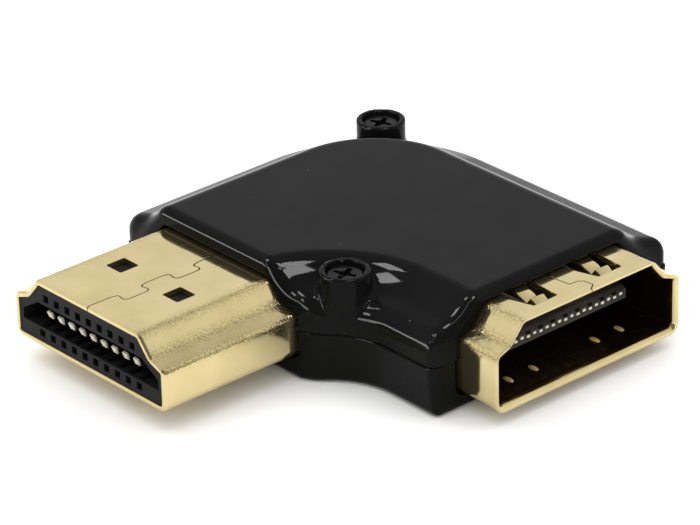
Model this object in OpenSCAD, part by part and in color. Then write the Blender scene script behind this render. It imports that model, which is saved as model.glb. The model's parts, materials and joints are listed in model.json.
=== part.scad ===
// Flat right-angle video adapter: a die-cast two-half housing, L-shaped in plan,
// with a 19-contact plug on one leg and a 19-contact receptacle on the other.
// Millimetres. Z is up and z = 0 is the flat underside. The plug points to -Y, the
// receptacle opens to +X, and their two centre lines cross over the origin.

/* [Housing] */
// height of the raised top over the underside
body_h = 7; // [6.9:0.05:8]
// height of the joint between the two housing halves
joint_h = 3.3; // [3:0.02:3.5]
// height of both connector centre lines over the underside
axis_h = 3.6; // [3.55:0.05:3.8]
// from the receptacle centre line to the face that the plug leaves
plug_leg = 11.75; // [11.2:0.05:13]
// from the plug centre line to the face that the receptacle leaves
jack_leg = 16.3; // [16:0.1:20]
// half width of the raised top over the plug, on the outer side
plug_top_half = 5.35; // [5.2:0.05:5.8]
// half width of the raised top over the receptacle, on the outer side
jack_top_half = 6; // [5.8:0.05:6.4]
// from the plug centre line to the inner edge of the raised top
plug_top_inner = 4.33; // [4:0.01:4.6]
// from the receptacle centre line to the inner edge of the raised top
jack_top_inner = 6.2; // [6.1:0.05:6.5]
// from the edge of the raised top out to the side, on the outer sides
outer_rim = 3.83; // [3.6:0.01:4.4]
// the same on the inner sides of the L
inner_rim = 3.27; // [3.15:0.01:3.5]
// plan radius of the raised top at the outer corner
top_corner_r = 5.95; // [4:0.05:7]
// plan radius of the side wall in the inner corner of the L
inner_corner_r = 4.45; // [4:0.05:4.7]
// plan radius of the two upright corners at the plug's end face
plug_corner_r = 1.15; // [0.6:0.05:1.3]
// plan radius of the two upright corners at the receptacle's end face
jack_corner_r = 0.5; // [0.3:0.05:1]
// how far the lower half stands proud of the upper half at the joint
joint_lip = 0.08; // [0.04:0.01:0.12]

/* [Housing section] */
// how far the steep slope under the raised top runs out
slope_run = 0.8; // [0.7:0.05:1.1]
// height that the steep slope drops
slope_drop = 1.1; // [1:0.05:1.3]
// fall of the shoulder towards the side, in degrees
shoulder_fall = 17.5; // [12:0.5:20]
// radius of the edge of the raised top
top_edge_r = 0.35; // [0.2:0.05:0.4]
// radius of the hollow where the slope meets the shoulder
slope_foot_r = 0.7; // [0.65:0.05:0.75]
// radius from the shoulder down to the side
shoulder_r = 0.95; // [0.7:0.05:1.1]
// radius of the bottom edge
bottom_edge_r = 0.5; // [0.3:0.05:0.7]
// lean of the side walls of the lower half, in degrees
lower_draft = 6.2; // [2:0.2:7]
// thickness of the floor under the chamber
floor_t = 1; // [0.8:0.05:1.05]
// thickness of the roof over the chamber
roof_t = 0.7; // [0.6:0.05:0.8]
// thickness of the walls around the chamber
wall_t = 1.6; // [1.4:0.1:2]
// clearance of each connector in its mouth in the housing
mouth_gap = 0.15; // [0.15:0.05:0.3]
// depth of that clearance before the seat begins
mouth_depth = 0.8; // [0.5:0.1:1.2]
// clearance between pieces that are pressed or clamped together
fit_gap = 0.02; // [0.01:0.01:0.03]

/* [Screws] */
// radius of the round bosses
boss_r = 1.52; // [1.45:0.01:1.6]
// how far the bosses bulge out of the sides
boss_bulge = 0.16; // [0.14:0.01:0.24]
// radius of the flare at the foot of a boss
boss_flare = 0.5; // [0.3:0.05:0.6]
// direction of the inner boss about the centre of the inner corner, in degrees
inner_boss_turn = 54; // [50:0.5:58]
// direction of the outer boss about the centre of the outer corner, in degrees
outer_boss_turn = 46; // [42:0.5:50]
// radius of the screw heads
head_r = 1.12; // [1.05:0.01:1.2]
// thickness of the screw heads
head_h = 0.6; // [0.5:0.05:0.8]
// how deep the heads sit under the rims of the bosses
head_sink = 0.3; // [0.2:0.05:0.5]
// radius of the screw shanks
shank_r = 0.8; // [0.7:0.05:0.85]
// length of the screws under the head
screw_len = 4.5; // [4.2:0.1:4.6]
// width of the cross recess in the heads
recess_w = 0.34; // [0.28:0.02:0.4]
// depth of the cross recess in the heads
recess_depth = 0.32; // [0.2:0.02:0.4]

/* [Plug] */
// how far the plug stands out of the housing
plug_out = 9.75; // [9.4:0.05:12]
// how far the plug reaches into the housing
plug_in = 5; // [4.8:0.1:5.2]
// width of the plug over its folded shell
plug_w = 13.9; // [13.8:0.05:14]
// height of the plug over its folded shell
plug_h = 4.4; // [4.35:0.05:4.5]
// width of the narrow side of the plug
plug_narrow_w = 9.44; // [9.3:0.02:9.6]
// width of the plug at the hollow knees of its slanted sides
plug_knee_w = 11.5; // [11.4:0.05:11.6]
// height of those knees over the centre line
plug_knee_h = 1; // [0.95:0.05:1.05]
// height of the upper ends of the upright sides over the centre line
plug_bend_h = 0.56; // [0.5:0.02:0.6]
// sheet thickness of both connector shells
sheet_t = 0.35; // [0.28:0.01:0.36]
// side of the square latch holes
latch_hole = 1.4; // [1.2:0.1:1.6]
// distance between the two latch holes on the narrow side
latch_pitch = 5.2; // [5:0.1:5.4]
// distance between the two latch holes on the wide side
wide_latch_pitch = 7; // [6.8:0.1:7.2]
// from the front edge of the plug to the centre of a latch hole
latch_back = 4.78; // [4.4:0.1:5]
// width of the slit where the folded sheet closes
seam_w = 0.07; // [0.05:0.01:0.1]
// how far the locking tabs of the seam reach across
tab_reach = 0.9; // [0.7:0.05:1]
// length of each locking tab along the seam
tab_len = 1.8; // [1.5:0.1:1.9]
// distance between the locking tabs
tab_pitch = 3.85; // [3.7:0.05:4]
// from the front edge of the plug to the middle of the first tab
tab_start = 3.04; // [2.8:0.02:3.2]

/* [Receptacle] */
// how far the receptacle stands out of the housing
jack_out = 3.09; // [2.95:0.01:4.5]
// how far the receptacle reaches into the housing
jack_in = 8.2; // [8:0.1:8.4]
// width of the receptacle over its folded shell
jack_w = 14.7; // [14.6:0.05:14.8]
// height of the receptacle over its folded shell
jack_h = 5.25; // [5.2:0.05:5.3]
// width of the narrow side of the receptacle
jack_narrow_w = 10.5; // [10.4:0.05:10.7]
// width of the receptacle at the hollow knees of its slanted sides
jack_knee_w = 12.6; // [12.5:0.05:12.7]
// height of those knees over the centre line
jack_knee_h = 1.38; // [1.34:0.02:1.42]
// height of the upper ends of the upright sides over the centre line
jack_bend_h = 1; // [0.95:0.01:1.05]
// how far the lip round the mouth is flared outwards
lip_flare = 0.2; // [0.1:0.02:0.22]
// length of that lip
lip_depth = 0.35; // [0.25:0.05:0.5]
// from the front edge of the receptacle to the front end of a spring window
window_front = 0.94; // [0.9:0.02:1.2]
// width of the spring windows at their front end
window_w = 1.9; // [1.7:0.05:2]
// length of the spring windows
window_len = 4.6; // [4.2:0.1:5]
// how much wider the windows get towards the housing
window_flare = 0.5; // [0.3:0.05:0.6]
// length over which the windows widen
window_taper = 1.6; // [1.4:0.1:2]
// width of the leaf springs
spring_w = 1; // [0.9:0.05:1.05]
// how far the leaf springs stand off the middle of their windows
spring_shift = 0.16; // [0.1:0.02:0.24]
// how far the leaf springs dip into the mouth
spring_dip = 0.6; // [0.55:0.05:0.7]
// width of the slit that frees each tongue in the wide side
slit_w = 0.12; // [0.1:0.01:0.15]
// width of those tongues
slit_pitch = 2; // [1.8:0.1:2.1]
// from the front edge of the receptacle to the slit across the front of the tongues
slit_front = 2.1; // [2:0.05:2.3]
// width of the tongue
tongue_w = 9.84; // [9.76:0.02:10]
// thickness of the tongue
tongue_t = 0.95; // [0.9:0.01:1]
// from the front edge of the receptacle to the tip of the tongue
tongue_back = 1.97; // [1.9:0.01:2.4]
// how far the tongue reaches out of its block
tongue_len = 6.8; // [6.5:0.1:7]

/* [Contacts] */
// distance between neighbouring contacts of one row
pitch = 1; // [1:0.01:1.02]
// width of the contacts
contact_w = 0.4; // [0.34:0.02:0.42]
// thickness of the contacts
contact_t = 0.15; // [0.12:0.01:0.16]
// clearance around the contacts in their channels
channel_gap = 0.04; // [0.02:0.01:0.05]
// height of the row of nine in the plug over the centre line
row_high = 1.1; // [1.05:0.01:1.15]
// depth of the row of ten in the plug under the centre line
row_low = 1.31; // [1.26:0.01:1.36]
// side of the square holes where the contacts end in the plug's face
channel_h = 0.48; // [0.4:0.02:0.5]
// thickness of the circuit board
board_t = 0.8; // [0.7:0.02:0.85]

/* [Hidden] */
$fn = 48;
plug_nodes = [for (i = [1 : 19]) str("plug_contact_", i)];
jack_nodes = [for (i = [1 : 19]) str("receptacle_contact_", i)];

// plan: the outer corner and both outer sides are swept about one centre line
outer_c = [top_corner_r - plug_top_half, jack_top_half - top_corner_r];
outer_side_r = top_corner_r + outer_rim;
// plan: the inner side is swept about a point in front of the inner corner
inner_top_r = inner_corner_r + inner_rim;
inner_c = [inner_top_r + plug_top_inner, -jack_top_inner - inner_top_r];
left_side = outer_side_r - outer_c[0];
back_side = outer_side_r + outer_c[1];
front_side = -inner_c[1] - inner_corner_r;
// both bosses bulge a little out of the sides, cut flush with the rim of the lower half
outer_boss_dir = [-cos(outer_boss_turn), sin(outer_boss_turn)];
inner_boss_dir = [-cos(inner_boss_turn), sin(inner_boss_turn)];
outer_boss = outer_c + (outer_side_r - boss_r + boss_bulge) * outer_boss_dir;
inner_boss = inner_c + (inner_corner_r + boss_r - boss_bulge) * inner_boss_dir;
boss_foot_h = body_h - slope_drop - 0.65;
head_seat_h = body_h - head_sink - head_h;
plug_tip = plug_leg + plug_out;
jack_tip = jack_leg + jack_out;
seat_end = mouth_depth + 1.4;
solder_h = board_t / 2 + contact_t / 2;
over = 1;

// direction and corner helpers for rounded outlines
function unit(v) = v / norm(v);
function turn(a, b) = a[0] * b[1] - a[1] * b[0];
function before(p, i) = p[(i + len(p) - 1) % len(p)];
function after(p, i) = p[(i + 1) % len(p)];
function half_angle(a, c, b) = acos(unit(a - c) * unit(b - c)) / 2;
function setback(a, c, b, r) = r / tan(half_angle(a, c, b));
function arc_centre(a, c, b, r) = c + unit(unit(a - c) + unit(b - c)) * r / sin(half_angle(a, c, b));
function ends(a, c, b, r) = r == 0 ? [c]
    : [c + unit(a - c) * setback(a, c, b, r), c + unit(b - c) * setback(a, c, b, r)];
// corners of a strip of thickness t along a path, with mitred bends
function normal(a, b) = unit([a[1] - b[1], b[0] - a[0]]);
function mitre(p, i) = i == 0 ? normal(p[0], p[1])
    : i == len(p) - 1 ? normal(p[i - 1], p[i])
    : let (m = normal(p[i - 1], p[i]), n = normal(p[i], p[i + 1])) (m + n) / (1 + m * n);
function beside(p, d) = [for (i = [0 : len(p) - 1]) p[i] + d * mitre(p, i)];
function backwards(p) = [for (i = [len(p) - 1 : -1 : 0]) p[i]];
function strip(p, t) = concat(beside(p, -t / 2), backwards(beside(p, t / 2)));

// an outline, counter-clockwise, with a true arc of its own radius at each corner; each arc may stay
// clear of its two sides by a tiny slack, so that no arc merely grazes a side
module rounded(p, r, slack = 0) {
    difference() {
        union() {
            polygon([for (i = [0 : len(p) - 1]) each ends(before(p, i), p[i], after(p, i), r[i])]);
            for (i = [0 : len(p) - 1])
                if (r[i] > 0 && turn(p[i] - before(p, i), after(p, i) - p[i]) > 0)
                    translate(arc_centre(before(p, i), p[i], after(p, i), r[i])) circle(r[i] - slack);
        }
        for (i = [0 : len(p) - 1])
            if (r[i] > 0 && turn(p[i] - before(p, i), after(p, i) - p[i]) < 0)
                translate(arc_centre(before(p, i), p[i], after(p, i), r[i])) circle(r[i] - slack);
    }
}

// an outline grown by g on every side, and the corner radii that go with it
function outward(a, b) = unit([b[1] - a[1], a[0] - b[0]]);
function grown(p, g) = [for (i = [0 : len(p) - 1])
    let (m = outward(before(p, i), p[i]), n = outward(p[i], after(p, i))) p[i] + g * (m + n) / (1 + m * n)];
function is_convex(p, i) = turn(p[i] - before(p, i), after(p, i) - p[i]) > 0;
function grown_radii(p, r, g) = [for (i = [0 : len(p) - 1]) is_convex(p, i) ? r[i] + g : r[i] - g];

// the outline of both connectors: wide below, narrow on top, with a hollow knee in each slanted side
function connector_form(w, h, narrow, knee_w, knee_h, bend) = [
    [-w / 2, -h / 2], [w / 2, -h / 2], [w / 2, bend], [knee_w / 2, knee_h],
    [narrow / 2, h / 2], [-narrow / 2, h / 2], [-knee_w / 2, knee_h], [-w / 2, bend]];
form_radii = [0.6, 0.6, 0.5, 0.5, 0.55, 0.55, 0.5, 0.5];
plug_form = connector_form(plug_w, plug_h, plug_narrow_w, plug_knee_w, plug_knee_h, plug_bend_h);
jack_form = connector_form(jack_w, jack_h, jack_narrow_w, jack_knee_w, jack_knee_h, jack_bend_h);
arc_slack = 0.0005;
module outline(form, g) {
    rounded(grown(form, g), grown_radii(form, form_radii, g), arc_slack);
}
// a section of the plug leg, standing at y and reaching d towards the plug tip
module along_plug(y, d) {
    translate([0, y, axis_h]) rotate([90, 0, 0]) linear_extrude(d) children();
}
// a section of the receptacle leg, standing at x and reaching d towards its mouth
module along_jack(x, d) {
    translate([x, 0, axis_h]) rotate([90, 0, 90]) linear_extrude(d) children();
}

// section of the upper half: raised top, steep slope, shoulder, side, s = way out from the top's edge
function upper_section(u0, s, side) = [
    [u0 + s * side, joint_h],
    [u0 + s * side, body_h - slope_drop - (side - slope_run) * tan(shoulder_fall)],
    [u0 + s * slope_run, body_h - slope_drop], [u0, body_h]];
upper_radii = [0, shoulder_r, slope_foot_r, top_edge_r];

// solid section from the corner's centre line out to the outer side
module upper_outer_section() {
    intersection() {
        rounded(concat([[0, joint_h - over], [outer_side_r - joint_lip, joint_h - over]],
                       [for (i = [1 : 3]) upper_section(top_corner_r, 1, outer_rim - joint_lip)[i]],
                       [[0, body_h]]),
                [0, 0, shoulder_r, slope_foot_r, top_edge_r, 0]);
        translate([0, joint_h]) square([outer_side_r, body_h]);
    }
}
// the air in front of the inner side, to be taken away
module upper_inner_section() {
    rounded(concat([[0, body_h + over], [0, joint_h - over], [inner_corner_r + joint_lip, joint_h - over]],
                   [for (i = [1 : 3]) upper_section(inner_top_r, -1, inner_rim - joint_lip)[i]],
                   [[inner_top_r + over, body_h], [inner_top_r + over, body_h + over]]),
            [0, 0, 0, shoulder_r, slope_foot_r, top_edge_r, 0, 0]);
}
// the top edge of the lower half is broken by a small chamfer
lean = joint_h * tan(lower_draft);
rim = 0.1;
rim_lean = rim * tan(lower_draft);
module lower_outer_section() {
    rounded([[0, 0], [outer_side_r - lean, 0], [outer_side_r - rim_lean, joint_h - rim],
             [outer_side_r - rim, joint_h], [0, joint_h]], [0, bottom_edge_r, 0, 0, 0]);
}
module lower_inner_section() {
    r = inner_corner_r;
    rounded([[0, joint_h + over], [0, -over], [r + lean + over, -over], [r + lean + over, 0], [r + lean, 0],
             [r + rim_lean, joint_h - rim], [r + rim, joint_h], [r + rim, joint_h + over]],
            [0, 0, 0, 0, bottom_edge_r, 0, 0, 0]);
}
// sweeps a section along the left side, round the outer corner and along the back
module sweep_outer() {
    translate([outer_c[0], outer_c[1], 0]) {
        rotate([90, 0, 0]) linear_extrude(plug_leg + outer_c[1]) mirror([1, 0]) children();
        rotate([0, 0, 90]) rotate_extrude(angle = 90) children();
        rotate([90, 0, 90]) linear_extrude(jack_leg - outer_c[0]) children();
    }
}
// sweeps a section round the inner corner and along the front of the receptacle leg
module sweep_inner() {
    translate([inner_c[0], inner_c[1], 0]) {
        rotate([0, 0, 90]) rotate_extrude(angle = 90) children();
        rotate([90, 0, 90]) linear_extrude(jack_leg - inner_c[0] + over) children();
    }
}
// rounds an upright corner at p with radius r; its two sides run away along a and b
module corner_cut(p, a, b, r) {
    h = acos(a * b) / 2;
    out = -unit(a + b);
    t = r / tan(h);
    translate([0, 0, -over]) linear_extrude(body_h + 2 * over) difference() {
        polygon([p + a * t, p + a * t + out, p + 3 * out, p + b * t + out, p + b * t]);
        translate(p - out * r / sin(h)) circle(r * 1.02);
    }
}
module face_corners(inset) {
    reach = [inner_c[0] - sqrt(pow(inner_corner_r + inset, 2) - pow(inner_c[1] + plug_leg, 2)), -plug_leg];
    along = unit([-inner_c[1] - plug_leg, inner_c[0] - reach[0]]);
    corner_cut([inset - left_side, -plug_leg], [0, 1], [1, 0], plug_corner_r);
    corner_cut(reach, along, [-1, 0], plug_corner_r);
    corner_cut([jack_leg, inset - front_side], [-1, 0], [0, 1], jack_corner_r);
    corner_cut([jack_leg, back_side - inset], [0, -1], [-1, 0], jack_corner_r);
}
// the round boss with its flared foot, from the joint up to the raised top
module boss(p) {
    f = boss_foot_h;
    translate([p[0], p[1], 0]) rotate_extrude() rounded(
        [[0, joint_h], [boss_r + boss_flare, joint_h], [boss_r + boss_flare, f],
         [boss_r, f], [boss_r, body_h], [0, body_h]],
        [0, 0, 0, boss_flare * 0.98, 0.15, 0]);
}
module screw_room(p) {
    translate([p[0], p[1], head_seat_h]) cylinder(r = head_r + 0.04, h = over + head_h);
    translate([p[0], p[1], joint_h - over]) cylinder(r = shank_r + 0.1, h = body_h);
}
// the L in plan: ro from the centre of the outer corner, ri from that of the inner one, its ends short
// of the two end faces
module plan(ro, ri, plug_end, jack_end) {
    difference() {
        rounded([[outer_c[0] - ro, plug_end - plug_leg], [jack_leg - jack_end, plug_end - plug_leg],
                 [jack_leg - jack_end, outer_c[1] + ro], [outer_c[0] - ro, outer_c[1] + ro]], [0, 0, 0, ro]);
        translate(inner_c) {
            circle(ri);
            translate([0, -plug_leg]) square([2 * jack_leg, plug_leg + ri]);
        }
    }
}
// the chamber round the board leaves the columns of the two screws standing
module chamber_plan() {
    difference() {
        plan(outer_side_r - wall_t, inner_corner_r + wall_t, seat_end, seat_end);
        translate(inner_boss) circle(boss_r + 0.1);
        translate(outer_boss) circle(boss_r + 0.1);
    }
}
// the two connector seats: a wide mouth first, then a snug seat
module seats() {
    along_plug(-plug_leg + mouth_depth, mouth_depth + over) outline(plug_form, mouth_gap);
    along_plug(-plug_leg + plug_in + fit_gap, plug_in) outline(plug_form, fit_gap);
    along_jack(jack_leg - mouth_depth, mouth_depth + over) outline(jack_form, mouth_gap);
    along_jack(jack_leg - jack_in - fit_gap, jack_in) outline(jack_form, fit_gap);
}

// the upper half's outside without its bosses
module upper_body() {
    difference() {
        difference() {
            union() {
                sweep_outer() upper_outer_section();
                translate([outer_c[0], -plug_leg, joint_h])
                    cube([jack_leg - outer_c[0], plug_leg + outer_c[1], body_h - joint_h]);
            }
            sweep_inner() upper_inner_section();
        }
        face_corners(joint_lip);
    }
}
module upper_shell() {
    color("#1d1f1f") difference() {
        union() {
            upper_body();
            difference() {
                boss(inner_boss);
                translate([inner_c[0], inner_c[1], 0]) cylinder(r = inner_corner_r, h = 2 * body_h);
            }
            difference() {
                boss(outer_boss);
                translate([outer_c[0], outer_c[1], 0]) difference() {
                    cylinder(r = 2 * outer_side_r, h = 2 * body_h);
                    cylinder(r = outer_side_r, h = 2 * body_h);
                }
            }
        }
        translate([0, 0, joint_h - over]) linear_extrude(axis_h + 0.9 - joint_h + over) chamber_plan();
        translate([0, 0, joint_h - over]) linear_extrude(body_h - roof_t - joint_h + over)
            plan(top_corner_r - 0.3, inner_top_r + 0.3, plug_in + 0.5, seat_end + 0.3);
        seats();
        screw_room(inner_boss);
        screw_room(outer_boss);
    }
}

module lower_body() {
    difference() {
        difference() {
            union() {
                sweep_outer() lower_outer_section();
                translate([outer_c[0], -plug_leg, 0])
                    cube([jack_leg - outer_c[0], plug_leg + outer_c[1], joint_h]);
            }
            sweep_inner() lower_inner_section();
        }
        face_corners(0);
    }
}
module lower_shell() {
    hole_floor = head_seat_h - screw_len - 0.3;
    color("#232525") difference() {
        lower_body();
        translate([0, 0, floor_t]) linear_extrude(joint_h) chamber_plan();
        seats();
        for (p = [inner_boss, outer_boss])
            translate([p[0], p[1], hole_floor]) cylinder(r = shank_r + fit_gap, h = body_h);
    }
}

// flat-headed screw with a cross recess
module screw(p) {
    translate([p[0], p[1], head_seat_h + fit_gap]) difference() {
        union() {
            rotate_extrude()
                rounded([[0, 0], [head_r, 0], [head_r, head_h], [0, head_h]], [0, 0, 0.15, 0]);
            translate([0, 0, 0.3 - screw_len]) cylinder(r = shank_r, h = screw_len);
            translate([0, 0, -screw_len]) cylinder(r1 = shank_r - 0.3, r2 = shank_r, h = 0.3);
        }
        translate([0, 0, head_h - recess_depth / 2]) for (a = [20, 110])
            rotate([0, 0, a]) cube([1.3 * head_r, recess_w, recess_depth + 0.01], center = true);
        translate([0, 0, head_h - recess_depth - 0.1])
            cylinder(r1 = 0.1, r2 = 0.36, h = recess_depth + 0.11);
    }
}
module inner_screw() {
    color("#303232") screw(inner_boss);
}
module outer_screw() {
    color("#303232") screw(outer_boss);
}

// the seam's way along the plug, from the front edge to the back: straight, with locking tabs
seam_x = 0.1;
seam_path = concat([[seam_x, -plug_tip - over]],
    [for (i = [0 : 1]) each let (m = -plug_tip + tab_start + i * tab_pitch, h = tab_len / 2)
        [[seam_x, m - h + 0.08], [seam_x + tab_reach, m - h - 0.08],
         [seam_x + tab_reach, m + h + 0.08], [seam_x, m + h - 0.08]]],
    [[seam_x, -plug_leg + plug_in + over]]);

module plug_shell() {
    color("#d9c68a") difference() {
        along_plug(plug_in - plug_leg, plug_in + plug_out) difference() {
            outline(plug_form, 0);
            outline(plug_form, -sheet_t);
        }
        translate([0, 0, axis_h]) linear_extrude(plug_h) polygon(strip(seam_path, seam_w));
        for (s = [-1, 1]) {
            translate([s * latch_pitch / 2, latch_back - plug_tip, axis_h + plug_h / 2])
                cube([latch_hole, latch_hole, 2 * over], center = true);
            translate([s * wide_latch_pitch / 2, latch_back - plug_tip, axis_h - plug_h / 2])
                cube([latch_hole, latch_hole, 2 * over], center = true);
        }
    }
}

// one spring contact of the plug, seen from the side: y along the plug, z from the centre line
function plug_path(high) = concat(plug_rear(high ? row_high : row_low), high
    ? [for (q = [[1.5, -0.05], [0.85, -0.28], [0.5, -0.18], [0.35, 0.2]]) q + [-plug_tip, 0]]
    : [for (q = [[4.4, 0.62], [4, 0.5], [3.6, 0.62], [3.1, 1.15]]) q + [-plug_tip, 0]]);
function plug_rear(r) = let (s = -plug_leg + plug_in)
    [[s + 1.75, solder_h], [s, solder_h], [s - 0.75, r], [-plug_tip + channel_len, r]];
// where contact i stands across the connector: even ones in the row of nine, odd ones in the row of ten
function across(i) = (i - 10) * pitch / 2;
function is_high(i) = i % 2 == 0;
// stands a side view of thickness w across the plug, upside down for the row of ten
module across_plug(i, w) {
    translate([across(i) - w / 2, 0, axis_h]) rotate([90, 0, 90])
        linear_extrude(w) mirror([0, is_high(i) ? 0 : 1]) children();
}
module plug_contact(i) {
    color("#e3d9b4") across_plug(i, contact_w) polygon(strip(plug_path(is_high(i)), contact_t));
}
// channel for one contact: open towards the mouth of the plug, snug behind
module plug_channel(i) {
    r = is_high(i) ? row_high : row_low;
    snug = contact_t + 2 * channel_gap;
    across_plug(i, contact_w + 2 * channel_gap) {
        translate([-plug_tip - over, r - channel_h / 2]) square([over + channel_len + 0.2, channel_h]);
        translate([-plug_tip, r - snug / 2]) square([plug_tip, snug]);
        translate([-plug_tip + 0.3, 0]) square([channel_len - 0.2, r]);
    }
}
insulator_back = -plug_leg + 1.2;
spacer_back = -plug_leg + plug_in - 0.6;
// depth of the hollow in the back of that block, where the two rows of contacts come together
hollow_depth = 1.5;
channel_len = 7;
module plug_insulator() {
    color("#252525") difference() {
        along_plug(insulator_back, plug_tip + insulator_back - 0.1) outline(plug_form, -sheet_t - fit_gap);
        along_plug(-plug_tip + channel_len, channel_len) polygon([
            [-6.3, -0.9], [6.3, -0.9], [6.24, -0.23], [4.8, 0.64], [-4.8, 0.64], [-6.24, -0.23]]);
        for (i = [1 : 19]) plug_channel(i);
    }
}
// block behind the insulator that carries the rear ends of the contacts
module plug_spacer() {
    back = spacer_back;
    slot = board_t + 2 * contact_t + 2 * channel_gap;
    color("#2b2b2b") difference() {
        along_plug(back, back - insulator_back - fit_gap) outline(plug_form, -sheet_t - fit_gap);
        for (i = [1 : 19]) across_plug(i, contact_w + 2 * channel_gap)
            polygon(strip([for (k = [0 : 3]) plug_path(is_high(i))[k]], contact_t + 2 * channel_gap));
        translate([-tongue_w / 2, back - hollow_depth, axis_h - slot / 2])
            cube([tongue_w, hollow_depth + over, slot]);
    }
}

// side view of the leaf springs: x from the front edge of the receptacle, z from the shell's outside
spring_path = [[-window_front - window_len - 0.2, -sheet_t / 2], [-3.4, -sheet_t / 2],
    [-2.5, -0.47], [-2.24, -spring_dip], [-2.1, -spring_dip], [-1.76, -0.19], [-1.44, -0.45]];
module leaf_spring() {
    translate([jack_tip, spring_w / 2 + spring_shift, 0]) rotate([90, 0, 0]) linear_extrude(spring_w)
        polygon(strip(spring_path, sheet_t * 0.7));
}
// the tongues in the wide side lie flat, cut free by a slit with a small relief hole at each corner
module slit_cut() {
    b = jack_tip - slit_front;
    translate([0, 0, -sheet_t - over / 2]) linear_extrude(sheet_t + over) {
        polygon(strip([[b - window_len, -slit_pitch / 2], [b, -slit_pitch / 2],
                       [b, slit_pitch / 2], [b - window_len, slit_pitch / 2]], slit_w));
        for (s = [-1, 1])
            translate([b, s * slit_pitch / 2]) polygon([[-0.42, 0], [-0.2, -0.2], [0.3, -0.15],
                                                        [0.42, 0], [0.2, 0.2], [-0.3, 0.15]]);
    }
}
module window_cut() {
    b = jack_tip - window_front;
    translate([0, 0, -sheet_t - over / 2]) linear_extrude(sheet_t + over)
        polygon([[b, -window_w / 2], [b, window_w / 2], [b - window_len, window_w / 2 + 0.3],
                 [b - window_len, -window_w / 2 - window_flare],
                 [b - window_taper, -window_w / 2 - window_flare]]);
}
jack_seam = [
    [jack_tip + over, 0.2], [jack_tip - 0.1, 0.2], [jack_tip - 0.49, 0.73], [jack_tip - 1.13, 0.65],
    [jack_tip - 1.38, 0.39], [jack_tip - 1.42, -0.22], [jack_tip - 2.48, -0.34],
    [jack_leg - jack_in - over, -0.34]];
module receptacle_shell() {
    color("#dcc98f") {
        difference() {
            union() {
                along_jack(jack_leg - jack_in, jack_in + jack_out) difference() {
                    outline(jack_form, 0);
                    outline(jack_form, -sheet_t);
                }
                along_jack(jack_tip - lip_depth, lip_depth) difference() {
                    outline(jack_form, lip_flare);
                    outline(jack_form, -sheet_t / 2);
                }
            }
            for (s = [-1, 1]) {
                translate([0, s * latch_pitch / 2, axis_h + jack_h / 2]) window_cut();
                translate([0, s * wide_latch_pitch / 2, axis_h - jack_h / 2])
                    mirror([0, 0, 1]) slit_cut();
            }
            translate([0, 0, axis_h]) linear_extrude(jack_h) polygon(strip(jack_seam, seam_w));
        }
        for (s = [-1, 1])
            translate([0, s * latch_pitch / 2, axis_h + jack_h / 2]) leaf_spring();
    }
}

// one contact of the receptacle, seen from the side: x along the tongue, z from the centre line
tongue_tip = jack_tip - tongue_back;
tongue_root = tongue_tip - tongue_len;
jack_contact_w = contact_w * 0.55;
// each contact dives into the tongue and ends in its front face, a touch over the centre line
function nose_h(high) = high ? 0.05 : -0.11;
function jack_path(high) = [
    [jack_leg - jack_in - 1.4, solder_h], [tongue_tip - 1.2, solder_h],
    [tongue_tip - 0.9, nose_h(high)], [tongue_tip + 0.02, nose_h(high)]];
// stands a side view of thickness w across the receptacle, upside down for the row of ten
module across_jack(i, w) {
    translate([0, across(i) + w / 2, axis_h]) rotate([90, 0, 0])
        linear_extrude(w) mirror([0, is_high(i) ? 0 : 1]) children();
}
module receptacle_contact(i) {
    color("#e3d9b4") across_jack(i, jack_contact_w) polygon(strip(jack_path(is_high(i)), contact_t));
}
module jack_channel(i) {
    p = beside(jack_path(is_high(i)), -contact_t / 2 - fit_gap);
    q = beside(jack_path(is_high(i)), contact_t / 2 + fit_gap);
    across_jack(i, jack_contact_w + 2 * channel_gap)
        polygon([p[0], p[1], p[2], p[3] + [0.1, 0], q[3] + [0.1, 0], q[2], q[1], [q[1][0], 1],
                 [tongue_root, 1], [tongue_root, q[0][1]], q[0]]);
    // small window in the front face over each contact of the row of nine
    if (is_high(i))
        across_jack(i, contact_w) translate([tongue_tip - 0.6, nose_h(true) + 0.13]) square([0.8, 0.18]);
}
module receptacle_insulator() {
    base = jack_leg - jack_in + 0.3;
    t = tongue_t / 2;
    color("#4a4644") difference() {
        union() {
            along_jack(base, tongue_root - base) outline(jack_form, -sheet_t - fit_gap);
            translate([0, tongue_w / 2, axis_h]) rotate([90, 0, 0]) linear_extrude(tongue_w) polygon([
                [tongue_root - 0.5, -t], [tongue_tip - 0.3, -t], [tongue_tip, -t + 0.17],
                [tongue_tip, t - 0.17], [tongue_tip - 0.3, t], [tongue_root - 0.5, t]]);
        }
        for (i = [1 : 19]) jack_channel(i);
    }
}

// the board between the two rows of solder tails, cut out round the outer screw
module circuit_board() {
    front = -plug_leg + plug_in + 0.35;
    end = jack_leg - jack_in - 0.3;
    tail_w = tongue_w / 2 - 0.1;
    color("#2f4a36") translate([0, 0, axis_h - board_t / 2]) linear_extrude(board_t) difference() {
        polygon([[-tail_w, front], [tail_w, front], [tail_w, front + 0.8], [end, -5], [end, 5], [5, 6.4],
                 [-4.2, 6.4], [-6.4, 3.9], [-6.4, front + 0.8], [-tail_w, front + 0.8]]);
        translate(outer_boss) circle(boss_r + 0.35);
    }
}

lower_shell();
upper_shell();
inner_screw();
outer_screw();
circuit_board();
plug_shell();
plug_insulator();
plug_spacer();
receptacle_shell();
receptacle_insulator();
for (i = [1 : 19]) {
    plug_contact(i);
    receptacle_contact(i);
}
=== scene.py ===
"""Looks for a flat right-angle video adapter: a glossy black cast housing in two halves,
a gold-plated plug on one leg and a gold-plated receptacle on the other.

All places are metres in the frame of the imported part: z up, the plug to -y, the
receptacle to +x. Sizes are written in millimetres and multiplied by MM.
"""

import json
import math

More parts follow.
